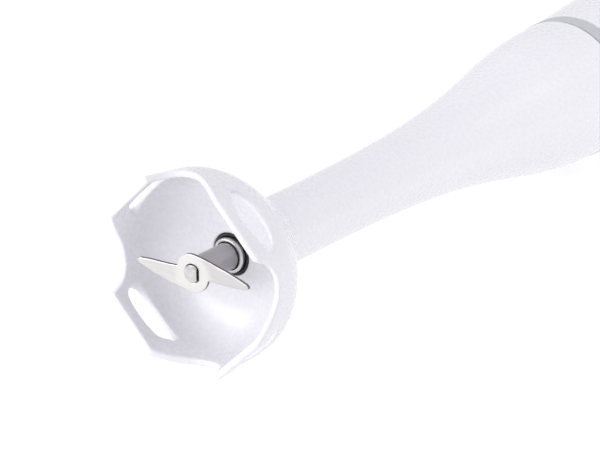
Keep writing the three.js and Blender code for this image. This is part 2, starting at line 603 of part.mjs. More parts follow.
SCREW_PLACES.forEach(([x, y], k) => {
  const head = post(x, y, [HEAD_Z, HEAD_Z + HEAD_HEIGHT], 2.5, 2.5, 4);
  const shank = post(x, y, [HEAD_Z + 1, 9], 1.45, 1.45, 3);
  addPart('housing_screw_' + (k + 1), joined([head, shank]), ZINC_STEEL);
});

const GLAND_RADIUS = 5.6;
function endCap() {
  const end = block([HOUSING_END + GAP, HANDLE_END + 1], [-FAR, FAR], [-FAR, FAR]);
  const vents = [];
  for (const side of [-1, 1]) {
    for (let k = -2; k <= 2; k += 1) {
      const across = [14, 30].map((y) => side * y).sort((a, b) => a - b);
      vents.push(block([362, 371], across, [4 * k - 0.8, 4 * k + 0.8]));
    }
  }
  const hole = rod(370, 390, GLAND_RADIUS + GAP);
  return cut(shell.intersect(end), [...vents, hole]);
}
addPart('end_cap', endCap(), WHITE);
addPart('cord_gland', turned([[373, 3.4], [373, 7.4], [375.2, 7.4], [375.2, GLAND_RADIUS], [384, GLAND_RADIUS],
  [LENGTH, 4.8], [LENGTH, 3.4]]), GRIP_GREY);

export default blender;
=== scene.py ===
"""The looks of an immersion blender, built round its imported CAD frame.

Lengths in the sections are millimetres, measured as the parts are drawn: x along the blade's
axis from the guard bell's rim, y and z from that axis. to_frame() turns them into metres.
"""
import math

import bmesh
import bpy
import numpy as np
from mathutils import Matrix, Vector


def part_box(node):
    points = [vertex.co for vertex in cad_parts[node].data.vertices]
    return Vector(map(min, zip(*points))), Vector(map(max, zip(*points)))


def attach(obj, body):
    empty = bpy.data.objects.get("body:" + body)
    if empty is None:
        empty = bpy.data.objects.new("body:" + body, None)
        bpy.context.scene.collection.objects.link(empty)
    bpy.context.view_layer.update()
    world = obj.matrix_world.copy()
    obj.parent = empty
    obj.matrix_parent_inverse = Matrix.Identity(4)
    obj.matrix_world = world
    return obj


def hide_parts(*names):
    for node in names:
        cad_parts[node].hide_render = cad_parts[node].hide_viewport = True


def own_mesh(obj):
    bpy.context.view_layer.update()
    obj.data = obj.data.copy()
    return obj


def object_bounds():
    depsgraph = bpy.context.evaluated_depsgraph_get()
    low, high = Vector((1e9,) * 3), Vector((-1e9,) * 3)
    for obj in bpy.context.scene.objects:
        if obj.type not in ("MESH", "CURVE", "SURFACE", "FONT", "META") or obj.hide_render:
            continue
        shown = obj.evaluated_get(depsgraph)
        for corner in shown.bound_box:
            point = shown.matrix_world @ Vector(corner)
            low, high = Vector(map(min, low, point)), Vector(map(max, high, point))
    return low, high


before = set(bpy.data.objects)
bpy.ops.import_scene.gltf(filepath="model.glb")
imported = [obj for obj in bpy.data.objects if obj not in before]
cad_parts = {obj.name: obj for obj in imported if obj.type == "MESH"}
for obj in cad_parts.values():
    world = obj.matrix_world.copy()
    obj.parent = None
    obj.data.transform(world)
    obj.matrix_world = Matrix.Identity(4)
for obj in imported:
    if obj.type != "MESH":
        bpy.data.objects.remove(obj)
cad_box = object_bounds()

# ---- Table top, light and camera ----
# The blender lies on a plain white table top in a white light tent. Two big soft panels face the open
# bell, and weaker ones stand overhead, at one side and over the stick. The camera looks along the stick
# from beyond the bell, with a long lens.

rim_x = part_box("guard_bell")[0].x
tube_low, tube_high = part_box("shank_tube")
axis_z = (tube_low.z + tube_high.z) / 2
MM = 0.001


def to_frame(points):
    return np.asarray(points, float) * MM + np.array([rim_x, 0, axis_z])


CAMERA_PLACE = (-490.2, -424.7, 288.85)
CAMERA_AIM = (0.72783, 0.56612, -0.387)
LENS = 147.3
SENSOR = 36

camera_data = bpy.data.cameras.new("camera")
camera_data.lens = LENS
camera_data.sensor_width = SENSOR
camera = bpy.data.objects.new("camera", camera_data)
camera.location = to_frame(CAMERA_PLACE)
camera.rotation_euler = Vector(CAMERA_AIM).to_track_quat("-Z", "Y").to_euler()
bpy.context.scene.collection.objects.link(camera)
bpy.context.scene.camera = camera


def soft_panel(name, place, aim, width, height, power, spread=180):
    light = bpy.data.lights.new(name, "AREA")
    light.spread = math.radians(spread)
    light.shape = "RECTANGLE"
    light.size = width
    light.size_y = height
    light.energy = power
    panel = bpy.data.objects.new(name, light)
    panel.location = place
    panel.rotation_euler = (Vector(aim) - Vector(place)).to_track_quat("-Z", "Y").to_euler()
    bpy.context.scene.collection.objects.link(panel)


soft_panel("overhead_panel", (0.25, -0.1, 1.0), (0, 0, 0), 0.9, 0.7, 0.05)
soft_panel("bell_panel", (-0.8, 0.45, 0.38), (-0.18, 0, 0.03), 0.9, 0.8, 2.0)
soft_panel("low_panel", (-0.9, 0.45, 0.13), (-0.18, 0, 0.03), 0.6, 0.24, 2.1)
soft_panel("side_panel", (-0.25, -0.9, 0.45), (0, 0, 0.03), 0.6, 0.4, 0.1)
soft_panel("stick_panel", (0.12, -0.42, 0.52), (0.05, 0, 0.03), 0.5, 0.3, 0.17, 50)

tent = bpy.data.worlds.new("light_tent")
tent.use_nodes = True
tent.node_tree.nodes["Background"].inputs["Color"].default_value = (0.965, 0.96, 1.0, 1)
tent.node_tree.nodes["Background"].inputs["Strength"].default_value = 0.81
bpy.context.scene.world = tent
bpy.context.scene.view_settings.view_transform = "Standard"


class Wire:
    """An output of a shader node. Arithmetic on it adds Math nodes, and node() adds any other node."""

    def __init__(self, socket):
        self.socket = socket

    def node(self, kind, settings=None, inputs=None, output=0):
        tree = self.socket.id_data
        made = tree.nodes.new(kind)
        for name, value in (settings or {}).items():
            setattr(made, name, value)
        for name, value in (inputs or {}).items():
            if isinstance(value, Wire):
                tree.links.new(value.socket, made.inputs[name])
            else:
                made.inputs[name].default_value = value
        return Wire(made.outputs[output])

    def math(self, operation, first, second):
        return self.node("ShaderNodeMath", {"operation": operation}, {0: first, 1: second})

    def __add__(self, other):
        return self.math("ADD", self, other)

    __radd__ = __add__

    def __mul__(self, other):
        return self.math("MULTIPLY", self, other)

    __rmul__ = __mul__


def new_finish(name):
    """An empty material, its Principled shader, and the wire that says where on the blender a point is."""
    made = bpy.data.materials.new(name)
    made.use_nodes = True
    tree = made.node_tree
    shader = tree.nodes["Principled BSDF"]
    place = Wire(tree.nodes.new("ShaderNodeTexCoord").outputs["Object"])
    return made, shader, place


def feed(shader, name, wire):
    shader.id_data.links.new(wire.socket, shader.inputs[name])


def noise(place, per_mm, detail=2.0):
    """Soft random values from 0 to 1, with so many blotches to the millimetre."""
    scale = per_mm / MM
    return place.node("ShaderNodeTexNoise", None, {"Vector": place, "Scale": scale, "Detail": detail})


def stretched(place, x, y, z):
    return place.node("ShaderNodeVectorMath", {"operation": "MULTIPLY"}, {0: place, 1: (x, y, z)})


MIX_FIRST, MIX_SECOND, MIX_RESULT = 6, 7, 2


def shade_between(mask, first, second):
    """Two colours, or wires that carry colours, mixed by a mask from 0 to 1."""
    shades = [shade if isinstance(shade, Wire) else (*shade, 1) for shade in (first, second)]
    return mask.node("ShaderNodeMix", {"data_type": "RGBA"}, {
        "Factor": mask, MIX_FIRST: shades[0], MIX_SECOND: shades[1]}, MIX_RESULT)


def bump(shader, height, depth, strength=1.0):
    """Feeds a height wire into the shader's normal. Its full range stands depth millimetres proud."""
    bumped = height.node("ShaderNodeBump", None, {
        "Height": height, "Distance": depth * MM, "Strength": strength})
    feed(shader, "Normal", bumped)


def table_finish():
    made, shader, place = new_finish("table_top")
    mottle = noise(place, 0.02, 4)
    feed(shader, "Base Color", shade_between(mottle, (0.34, 0.34, 0.345), (0.38, 0.38, 0.385)))
    shader.inputs["Roughness"].default_value = 0.9
    shader.inputs["Emission Color"].default_value = (1, 1, 1, 1)
    shader.inputs["Emission Strength"].default_value = 0.70
    return made


TABLE_HALF = 3.0
TABLE_DROP = 0.0001
table_mesh = bpy.data.meshes.new("table_top")
table_shape = bmesh.new()
bmesh.ops.create_grid(table_shape, x_segments=2, y_segments=2, size=TABLE_HALF)
table_shape.to_mesh(table_mesh)
table_shape.free()
table_mesh.materials.append(table_finish())
table_top = bpy.data.objects.new("table_top", table_mesh)
table_top.location.z = cad_box[0].z - TABLE_DROP
bpy.context.scene.collection.objects.link(table_top)

# ---- Guard bell ----
# A dome of gloss white plastic, moulded in one shot on a solid crown. Its rim stands on four feet
# between lopsided arches. The wall over each foot is flat, with a lens-shaped slot through it, and
# every edge has the small radius of its mould.


def smooth_loop(corners, steps=8):
    """A closed smooth curve through given corners."""
    ring = np.asarray(corners, float)
    before, after, beyond = np.roll(ring, 1, 0), np.roll(ring, -1, 0), np.roll(ring, -2, 0)
    curve = []
    for t in np.arange(steps) / steps:
        square = (2 * before - 5 * ring + 4 * after - beyond) * t**2
        cube = (3 * ring - before - 3 * after + beyond) * t**3
        curve.append((2 * ring + (after - before) * t + square + cube) / 2)
    return np.stack(curve, 1).reshape(-1, ring.shape[1])


def smooth_line(corners, steps=10):
    """An open smooth curve through given corners."""
    line = np.asarray(corners, float)
    line = np.vstack([2 * line[0] - line[1], line, 2 * line[-1] - line[-2]])
    loop = smooth_loop(line, steps)
    return np.vstack([loop[steps:-2 * steps], line[-2]])


def outline_distance(outline, across, up):
    """Distance of points from a closed outline, negative inside it."""
    start = np.asarray(outline, float)
    step = np.roll(start, -1, 0) - start
    nearest = np.full(across.shape, np.inf)
    inside = np.zeros(across.shape, bool)
    for (sx, sy), (dx, dy) in zip(start, step):
        px, py = across - sx, up - sy
        share = np.clip((px * dx + py * dy) / (dx * dx + dy * dy), 0, 1)
        nearest = np.minimum(nearest, (px - share * dx) ** 2 + (py - share * dy) ** 2)
        if dy:
            inside ^= ((sy > up) != (sy + dy > up)) & (px < dx * py / dy)
    return np.where(inside, -1, 1) * np.sqrt(nearest)


class DistanceTable:
    """The distance from an outline, kept on a fine grid and read back between its points."""

    def __init__(self, outline, low, high, pitch):
        self.low, self.pitch = np.array(low, float), pitch
        counts = [int((b - a) / pitch) + 2 for a, b in zip(low, high)]
        across, up = np.meshgrid(*[a + pitch * np.arange(n) for a, n in zip(low, counts)], indexing="ij")
        self.values = outline_distance(outline, across, up)

    def __call__(self, across, up):
        last = np.array(self.values.shape) - 1.001
        u = np.clip((across - self.low[0]) / self.pitch, 0, last[0])
        v = np.clip((up - self.low[1]) / self.pitch, 0, last[1])
        i, j = u.astype(int), v.astype(int)
        u, v = u - i, v - j
        near = self.values[i, j] * (1 - v) + self.values[i, j + 1] * v
        far = self.values[i + 1, j] * (1 - v) + self.values[i + 1, j + 1] * v
        return near * (1 - u) + far * u


BELL_RADIUS = 31.5
BELL_LENGTH = 38
BELL_ROOM = 32.4
BELL_PITCH = 0.45
FOOT_COUNT = 4
EDGE_RADIUS = 0.55
RIM_RADIUS = 30
BELL_WALL = 2.3
FLAT_REACH = 29.66
FLAT_FLARE = 0.3
FLARE_RISE = 4
SLOTS_END = 17
SLOTS_REACH = 24
SHARE_MARGIN = 0.3
FAR = 9
TABLE_PITCH = 0.1
DOME = [(-4, 31.9), (0, BELL_RADIUS), (5, 30.9), (10, 30.2), (14, 29.7), (16.5, 28.9), (19.5, 27.3),
        (23, 24.7), (27, 21.5), (31, 18.3), (34.2, 15.9), (36.4, 14.2), (37.6, 13), (BELL_LENGTH, 12.2)]
SOCKET = [(BELL_LENGTH, 11.3), (29, 11.3), (29, 6.7)]
BOWL = [(22.4, 6.7), (22.5, 8), (22.3, 12), (21.2, 17.5), (18.9, 22.8), (15.6, 26.2), (11.5, 27.8),
        (5, 28.7), (0, 29.2), (-4, 29.5)]
ARCH = [(-30, 0), (-25.3, 0), (-19, 1.7), (-12.6, 3.7), (-6.4, 5.5), (-0.7, 6.8), (5.5, 7.3), (11, 7.2),
        (15, 6.5), (19, 5.2), (22, 3.1), (25.2, 0), (30, 0)]
SLOT_INSIDE = [(-10, 7.4), (-9.2, 5.8), (-6.8, 4.7), (-2, 4.4), (3.2, 5.1), (8.2, 6.8), (11, 8.8),
               (10.2, 10.3), (6.5, 10.9), (-0.5, 11.3), (-6.5, 10.8), (-9.3, 9.2)]
SLOT_OUTSIDE = [(-9.7, 7.2), (-8.7, 5.8), (-4.9, 4.8), (0.6, 3.9), (4.8, 4.2), (9, 5.6), (12.3, 7.8),
                (11, 9.6), (7.2, 11.2), (0.5, 11.6), (-5.4, 10.7), (-8.6, 9)]

section = np.vstack([smooth_line(DOME), SOCKET, smooth_line(BOWL)])
section_distance = DistanceTable(section, (-4, 0), (44, 36), TABLE_PITCH)
slot_distances = [DistanceTable(smooth_loop(outline), (-24, -4), (24, 20), TABLE_PITCH)
                  for outline in (SLOT_INSIDE, SLOT_OUTSIDE)]
dome_line = smooth_line(DOME)
arch_line = smooth_line(ARCH)
arch_slope = np.gradient(arch_line[:, 1], arch_line[:, 0] * math.radians(1) * RIM_RADIUS)


def rounded_common(fields, radius):
    """The space that lies inside every field, with the edges between them rounded."""
    fields = np.broadcast_arrays(*fields)
    proud = [np.maximum(field + radius, 0) for field in fields]
    return np.minimum(np.maximum.reduce(fields), -radius) + np.sqrt(sum(p * p for p in proud))


def bell_field(x, y, z):
    """The dome's wall, drawn in to a flat over each foot, less its arches and its slots."""
    radius = np.hypot(y, z)
    quarter = 360 / FOOT_COUNT
    degrees = np.degrees(np.arctan2(y, z))
    from_arch = (degrees + quarter / 2) % quarter - quarter / 2
    from_foot = np.radians(degrees % quarter - quarter / 2)
    edge = np.maximum(np.interp(from_arch, arch_line[:, 0], arch_line[:, 1]), 0)
    slope = np.where(edge > 0, np.interp(from_arch, arch_line[:, 0], arch_slope), 0)
    rim = (edge - x) / np.sqrt(1 + slope * slope)
    flat_reach, along_flat = radius * np.cos(from_foot), radius * np.sin(from_foot)
    drawn_in = np.maximum(np.interp(x, dome_line[:, 0], dome_line[:, 1]) - FLAT_REACH, 0)
    share = np.clip((flat_reach - FLAT_REACH + BELL_WALL) / BELL_WALL, -SHARE_MARGIN, 1 + SHARE_MARGIN)
    inner, outer = [table(along_flat, x) for table in slot_distances]
    slot = -(inner * (1 - share) + outer * share)
    slot = np.where((x < SLOTS_END) & (radius > SLOTS_REACH), slot, -FAR)
    flare = FLAT_FLARE * np.clip(x / FLARE_RISE, 0, 1) * np.clip(1 - share, 0, 1)
    section_depth = section_distance(x, np.maximum(radius, flat_reach + drawn_in - flare))
    return rounded_common([section_depth, rim, slot], EDGE_RADIUS)


SLOPE_REACH = 0.02
LEAST_SLOPE = 0.05
SMOOTHING_PASSES = 4
OWN_SHARE = 0.4


def gradient(field, points):
    """How the field rises along x, y and z at each point."""
    slopes = []
    for axis in range(3):
        ahead, behind = points.copy(), points.copy()
        ahead[:, axis] += SLOPE_REACH
        behind[:, axis] -= SLOPE_REACH
        slopes.append((field(*ahead.T) - field(*behind.T)) / (2 * SLOPE_REACH))
    return np.stack(slopes, 1)


def draw_to_surface(field, points, most, passes=3):
    """Moves points onto the field's surface, no further than most in one pass."""
    for _ in range(passes):
        slopes = gradient(field, points)
        step = field(*points.T) / np.maximum((slopes**2).sum(1), LEAST_SLOPE)
        points = points - slopes * np.clip(step, -most, most)[:, None]
    return points


def skin_of(field, low, high, pitch):
    """An even skin of four-sided faces on the surface where a field is zero."""
    axes = [np.arange(a, b + pitch, pitch) for a, b in zip(low, high)]
    values = np.stack([field(x, *np.meshgrid(axes[1], axes[2], indexing="ij")) for x in axes[0]])
    solid = values < 0
    corners = [solid[i:i + solid.shape[0] - 1, j:j + solid.shape[1] - 1, k:k + solid.shape[2] - 1]
               for i in (0, 1) for j in (0, 1) for k in (0, 1)]
    mixed = np.logical_or.reduce(corners) & ~np.logical_and.reduce(corners)
    cells = np.argwhere(mixed)
    number = np.full(mixed.shape, -1)
    number[mixed] = np.arange(len(cells))
    points = (cells + 0.5) * pitch + np.array(low, float)
    faces = []
    for axis in range(3):
        ahead = np.roll(solid, -1, axis)
        crossing = solid != ahead
        crossing[(slice(None),) * axis + (-1,)] = False
        where = np.argwhere(crossing)
        b, c = (axis + 1) % 3, (axis + 2) % 3
        around = []
        for db, dc in ((-1, -1), (0, -1), (0, 0), (-1, 0)):
            cell = where.copy()
            cell[:, b] += db
            cell[:, c] += dc
            around.append(number[tuple(cell.T)])
        quads = np.stack(around, 1)
        outward = solid[tuple(where.T)]
        quads[~outward] = quads[~outward][:, ::-1]
        faces.append(quads)
    faces = np.vstack(faces)
    points = draw_to_surface(field, points, pitch)
    for _ in range(SMOOTHING_PASSES):
        total, count = np.zeros_like(points), np.zeros(len(points))
        for a, b in ((0, 1), (1, 2), (2, 3), (3, 0)):
            for one, other in ((a, b), (b, a)):
                np.add.at(total, faces[:, one], points[faces[:, other]])
                np.add.at(count, faces[:, one], 1)
        points = OWN_SHARE * points + (1 - OWN_SHARE) * total / count[:, None]
        points = draw_to_surface(field, points, pitch / 2, 1)
    return draw_to_surface(field, points, pitch / 2, 2), faces


def show(name, points, faces, finish, body, slot_name, stands_for=(), sharp=None):
    """A piece with its mesh and finish, the body it rides on and the CAD nodes that it stands for."""
    mesh = bpy.data.meshes.new(name)
    mesh.from_pydata([tuple(p) for p in to_frame(points)], [], [tuple(int(v) for v in f) for f in faces])
    mesh.validate()
    mesh.materials.append(finish)
    mesh.shade_smooth()
    if sharp is not None:
        mesh.set_sharp_from_angle(angle=math.radians(sharp))
    piece = bpy.data.objects.new(name, mesh)
    bpy.context.scene.collection.objects.link(piece)
    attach(piece, body)
    if stands_for:
        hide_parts(*stands_for)
    return piece


def gloss_white():
    """White plastic as it leaves a polished mould, with a faint flow mottle and a slight waviness."""
    made, shader, place = new_finish("moulded_white")
    flow = noise(place, 0.035, 3)
    feed(shader, "Base Color", shade_between(flow, (0.772, 0.768, 0.803), (0.792, 0.788, 0.823)))
    haze = noise(place, 0.6, 3)
    feed(shader, "Roughness", 0.24 + 0.07 * haze)
    skin = noise(place, 1.6, 2)
    bump(shader, skin, 0.0015, 0.3)
    shader.inputs["IOR"].default_value = 1.52
    return made


moulded_white = gloss_white()
bell_points, bell_faces = skin_of(bell_field, (-1, -BELL_ROOM, -BELL_ROOM),
                                  (BELL_LENGTH + 1, BELL_ROOM, BELL_ROOM), BELL_PITCH)
show("guard_bell_shell", bell_points, bell_faces, moulded_white, "stick", "white_plastic", ["guard_bell"])

# ---- Stick tube ----
# The flared outer tube of the stick, moulded in the same gloss white plastic as the bell. Its foot is
# welded into the bell's neck, and its open top slips over the handle's spigot.


BLUNT_TURN = math.radians(12)


def eased(corners, radius, steps=5):
    """A closed profile with its corners rounded, to a radius or to a third of the shorter side beside."""
    ring = [Vector(corner) for corner in corners]
    line = []
    for k, corner in enumerate(ring):
        before, after = ring[k - 1] - corner, ring[(k + 1) % len(ring)] - corner
        turn = math.pi - before.angle(after)
        if turn < BLUNT_TURN:
            line.append(tuple(corner))
            continue
        reach = min(radius * math.tan(turn / 2), before.length / 3, after.length / 3)
        start, stop = corner + before.normalized() * reach, corner + after.normalized() * reach
        for step in range(steps + 1):
            t = step / steps
            line.append(tuple((1 - t) ** 2 * start + 2 * t * (1 - t) * corner + t * t * stop))
    return line


def turned(profile, sides):
    """A profile of (x, radius) points turned about the axis. If it starts on the axis it ends there too."""
    line = np.asarray(profile, float)
    angles = 2 * math.pi * np.arange(sides) / sides
    solid_bar = line[0, 1] < 1e-9
    rings = line[1:-1] if solid_bar else line
    points = np.stack([np.repeat(rings[:, 0], sides), np.outer(rings[:, 1], np.sin(angles)).ravel(),
                       np.outer(rings[:, 1], np.cos(angles)).ravel()], 1)
    count = len(rings)
    faces = []
    for r in range(count - 1 if solid_bar else count):
        for s in range(sides):
            a, b = r * sides + s, r * sides + (s + 1) % sides
            up = ((r + 1) % count - r) * sides
            faces.append((a, b, b + up, a + up))
    if solid_bar:
        first, last = len(points), len(points) + 1
        points = np.vstack([points, [[line[0, 0], 0, 0], [line[-1, 0], 0, 0]]])
        top = (count - 1) * sides
        for s in range(sides):
            faces.append((first, (s + 1) % sides, s))
            faces.append((last, top + s, top + (s + 1) % sides))
    return points, faces


STICK_FOOT, STICK_TOP = 29.3, 205.3
FOOT_RADIUS = 10.85
MOUTH_RADIUS, MOUTH_EDGE = 24.76, 24.3
STICK_WALL = 2.3
STICK_BORE = 8.3
BORE_STRAIGHT_END, BORE_FLARE_START = 105, 125
LIP = 0.5
STICK_RADII = [(45, 10.87), (70, 10.96), (100, 11.79), (125, 13.55), (145, 16.18), (160, 18.85),
               (175, 21.81), (190, 23.89), (STICK_TOP, MOUTH_RADIUS)]
flare = smooth_line(STICK_RADII, 12)
bore_line = [(x, radius - STICK_WALL) for x, radius in flare[::-1] if x > BORE_FLARE_START]
stick_profile = [(STICK_FOOT, FOOT_RADIUS), *flare[:-1], (STICK_TOP - LIP, MOUTH_RADIUS - 0.02),
                 (STICK_TOP, MOUTH_EDGE), (STICK_TOP, MOUTH_RADIUS - STICK_WALL + 0.4),
                 (STICK_TOP - LIP, MOUTH_RADIUS - STICK_WALL), *bore_line[1:],
                 (BORE_STRAIGHT_END, STICK_BORE), (STICK_FOOT, STICK_BORE)]
show("stick_tube_shell", *turned(stick_profile, 192), moulded_white, "stick", "white_plastic",
     ["shank_tube"], sharp=40)

# ---- Blade ----
# One stamping of stainless steel sheet, a round hub with two swept wings that are bent slightly
# forward. The hub is held on the shaft's end, whose flat keeps it from turning.


def metal(name, dark, light, roughness, grain, coat=0.0):
    """Bare metal. The stretch of its grain along x, y and z sets which way it was worked."""
    made, shader, place = new_finish(name)
    lines = noise(stretched(place, *grain), 1.0, 3)
    cloud = noise(place, 0.25, 2)
    feed(shader, "Base Color", shade_between(lines * 0.7 + cloud * 0.3, dark, light))
    feed(shader, "Roughness", roughness - 0.07 + 0.14 * lines)
    bump(shader, lines, 0.01, 0.4)
    shader.inputs["Metallic"].default_value = 1
    shader.inputs["Coat Weight"].default_value = coat
    return made


BLADE_X = 4.9
BLADE_THICKNESS = 1.0
HUB_RADIUS = 5.95
STUD_RADIUS = 2.7
STUD_FLAT = 1.95
WING_PITCH = 0.03
WING_MIDDLE = -1.8
WING_BEND = 0.3
BEND_LENGTH = 5
WING = [(5.87, 1.0), (8.5, 0.75), (12.5, 0.52), (16.4, 0.3), (19.9, -0.1), (21.0, -0.75), (21.1, -1.35),
        (20.4, -1.95), (17.4, -2.9), (13, -4.05), (8.5, -4.9), (4, -5.55), (0.8, -5.9)]
BLADE_ROUND = 0.12
HOLE_GAP = 0.2
FLAT_GAP = 0.45
wing_table = DistanceTable([(0, 0.3), *WING, (0, -5.9)], (-2, -10), (23, 4), 0.05)


def blade_field(x, y, z):
    """The hub and both wings, which are alike when turned half round."""
    x, y, z = np.broadcast_arrays(x, y, z)
    side = np.where(y < 0, -1, 1)
    across, up = y * side, z * side
    hub = np.hypot(y, z)
    outline = np.minimum(wing_table(across, up), hub - HUB_RADIUS)
    reach = np.clip((hub - HUB_RADIUS) / BEND_LENGTH, 0, 1)
    lift = reach * (WING_PITCH * (up - WING_MIDDLE) - WING_BEND)
    front, back = BLADE_X + lift - x, x - BLADE_X - BLADE_THICKNESS - lift
    hole = np.maximum(hub - STUD_RADIUS - HOLE_GAP, -y - STUD_FLAT - FLAT_GAP)
    return rounded_common([outline, front, back, -hole], BLADE_ROUND)


EDGE_TURN = 0.55
# Radii between which the hub's painted highlight fades out into the plain sheet colour.
HUB_HIGHLIGHT_TO, HUB_HIGHLIGHT_GONE_BY = 0.9 * HUB_RADIUS, 1.3 * HUB_RADIUS


def stamped_steel():
    """Rolled sheet, with a painted highlight round the hub and a painted dark reflection on its cut edges.
    """
    made, shader, place = new_finish("stamped_steel")
    lines = noise(stretched(place, 1, 0.12, 1.6), 1.0, 3)
    rolled = shade_between(lines, (0.57, 0.55, 0.55), (0.69, 0.67, 0.67))
    from_axis = place.node("ShaderNodeVectorMath", {"operation": "SUBTRACT"}, {0: place, 1: (0, 0, axis_z)})
    across = stretched(from_axis, 0, 1, 1)
    reach = across.node("ShaderNodeVectorMath", {"operation": "LENGTH"}, {0: across}, "Value")
    # Painted highlight: the hub is painted brighter than the wings, fading out over those radii.
    wing = reach.node("ShaderNodeMapRange", None, {
        "Value": reach, "From Min": HUB_HIGHLIGHT_TO * MM, "From Max": HUB_HIGHLIGHT_GONE_BY * MM})
    hub_highlighted = shade_between(wing, (0.73, 0.715, 0.70), rolled)
    normal = Wire(place.socket.node.outputs["Normal"])
    along_axis = normal.node("ShaderNodeSeparateXYZ", None, {0: normal})
    facing = along_axis.math("ABSOLUTE", along_axis, 0)
    # Painted shade: faces turned across the axis, the blade's cut edges, are painted near-black as a dark
    # reflection.
    painted_dark_edge = facing.math("LESS_THAN", facing, EDGE_TURN)
    feed(shader, "Base Color", shade_between(painted_dark_edge, hub_highlighted, (0.16, 0.155, 0.16)))
    feed(shader, "Roughness", 0.3 + 0.14 * lines)
    bump(shader, lines, 0.01, 0.4)
    shader.inputs["Metallic"].default_value = 1
    return made


BLADE_PITCH = 0.16
show("blade_stamping", *skin_of(blade_field, (4, -22, -7), (7, 22, 7), BLADE_PITCH), stamped_steel(),
     "blade_shaft", "polished_steel", ["blade"])

# ---- Drive shaft ----
# A turned and polished steel rod. The flat on its end drives the blade, whose hub is peened on to it.

SHAFT_RADIUS = 2.6
SHAFT_END = 198
STUD_X = 3.9
STUD_CHAMFER = 0.35
SHAFT_CHAMFER = 0.4
SHOULDER_X = 6.2
turned_steel = metal("turned_steel", (0.46, 0.45, 0.45), (0.80, 0.79, 0.78), 0.26, (4, 0.6, 0.6))
shaft_profile = [(STUD_X, 0), (STUD_X, STUD_RADIUS - STUD_CHAMFER - 0.2),
                 (STUD_X, STUD_RADIUS - STUD_CHAMFER), (STUD_X + STUD_CHAMFER, STUD_RADIUS),
                 (SHOULDER_X, STUD_RADIUS), (SHOULDER_X, SHAFT_RADIUS),
                 (SHAFT_END - SHAFT_CHAMFER, SHAFT_RADIUS), (SHAFT_END, SHAFT_RADIUS - SHAFT_CHAMFER),
                 (SHAFT_END, 0)]
shaft_points, shaft_faces = turned(shaft_profile, 96)
flat = STUD_FLAT - np.clip(STUD_X + STUD_CHAMFER - shaft_points[:, 0], 0, STUD_CHAMFER)
on_stud = shaft_points[:, 0] < SHOULDER_X + 0.01
shaft_points[:, 1] = np.where(on_stud, np.maximum(shaft_points[:, 1], -flat), shaft_points[:, 1])
show("drive_shaft_rod", shaft_points, shaft_faces, turned_steel, "blade_shaft", "polished_steel",
     ["drive_shaft"], sharp=25)

# ---- Shaft sleeve ----
# A satin steel tube pressed on the shaft above the blade. It turns in the lower bearing.

SLEEVE_RADIUS = 4.2
SLEEVE_BORE = 2.9
SLEEVE_START, SLEEVE_END = 6.5, 42
satin_steel = metal("satin_steel", (0.33, 0.31, 0.325), (0.52, 0.495, 0.51), 0.36, (0.35, 2.2, 2.2))
sleeve_profile = eased([(SLEEVE_START, SLEEVE_BORE), (SLEEVE_START, SLEEVE_RADIUS),
                        (SLEEVE_END, SLEEVE_RADIUS), (SLEEVE_END, SLEEVE_BORE)], 0.4)
show("sleeve_tube", *turned(sleeve_profile, 128), satin_steel, "blade_shaft", "satin_steel",
     ["shaft_sleeve"], sharp=40)

# ---- Lower bearing bush and its seal ----
# A polished steel bush in the foot of the guide tube. Its bright end stands out of the bell's roof, and
# a black rubber ring seals the gap round it.

BUSH_BORE, BUSH_RADIUS = 4.5, 5.5
BUSH_START, BUSH_END = 20.9, 40
BUSH_LEAD = 0.5
bush_profile = eased([(BUSH_START, BUSH_BORE), (BUSH_START, 5.1), (BUSH_START + BUSH_LEAD, BUSH_RADIUS),
                      (BUSH_END, BUSH_RADIUS), (BUSH_END, BUSH_BORE)], 0.35)
show("bearing_bush", *turned(bush_profile, 128), turned_steel, "stick", "polished_steel",
     ["lower_bearing"], sharp=40)


def rubber(name, dark, light, roughness, grain=2.5, depth=0.03):
    """Moulded rubber or soft plastic: matt, with an even fine grain."""
    made, shader, place = new_finish(name)
    cloud = noise(place, 0.12, 3)
    feed(shader, "Base Color", shade_between(cloud, dark, light))
    skin = noise(place, grain, 2)
    feed(shader, "Roughness", roughness - 0.05 + 0.1 * skin)
    bump(shader, skin, depth, 0.5)
    return made


black_rubber = rubber("black_rubber", (0.012, 0.012, 0.014), (0.024, 0.024, 0.027), 0.6)
SEAL_START, SEAL_END = 22.7, 28.9
seal_profile = eased([(SEAL_START + 1, 5.56), (SEAL_START, 5.75), (SEAL_START, 6.3),
                      (SEAL_START + 0.6, 6.62), (SEAL_END, 6.62), (SEAL_END, 5.56)], 0.3)
show("seal_ring", *turned(seal_profile, 128), black_rubber, "stick", "black_rubber", ["shaft_seal"],
     sharp=50)

# ---- Coupling collar ----
# A satin grey moulding that closes the front of the handle. Its spigot carries the stick, and its slots
# let the release hooks through. A rubber ring in its groove keeps the joint quiet.


def satin_plastic(name, dark, light, roughness, depth=0.012):
    """Moulded plastic with the fine even spark-eroded grain of its tool."""
    made, shader, place = new_finish(name)
    cloud = noise(place, 0.05, 3)
    feed(shader, "Base Color", shade_between(cloud, dark, light))
    grain = noise(place, 4, 2)
    feed(shader, "Roughness", roughness - 0.05 + 0.1 * grain)
    bump(shader, grain, depth, 0.5)
    shader.inputs["IOR"].default_value = 1.5
    return made


grey_plastic = satin_plastic("grey_plastic", (0.47, 0.48, 0.50), (0.52, 0.53, 0.55), 0.42)
COLLAR_PROFILE = [(197, 12), (197, 20.2), (203.3, 20.2), (203.3, 19.7), (205.6, 19.7), (205.6, 24.95),
                  (211.6, 24.95), (211.6, 13.5), (224, 13.5), (224, 9), (212, 9), (209, 12)]
SLOT_HALF = 6
SLOT_START, SLOT_STEP, SLOT_END = 190, 204, 220
SLOT_FLOOR, SLOT_ROOF, SLOT_MOUTH = 15.4, 21.6, 23
SHELL_EDGE = 0.4
collar_distance = DistanceTable(COLLAR_PROFILE, (195, 6), (226, 28), TABLE_PITCH)


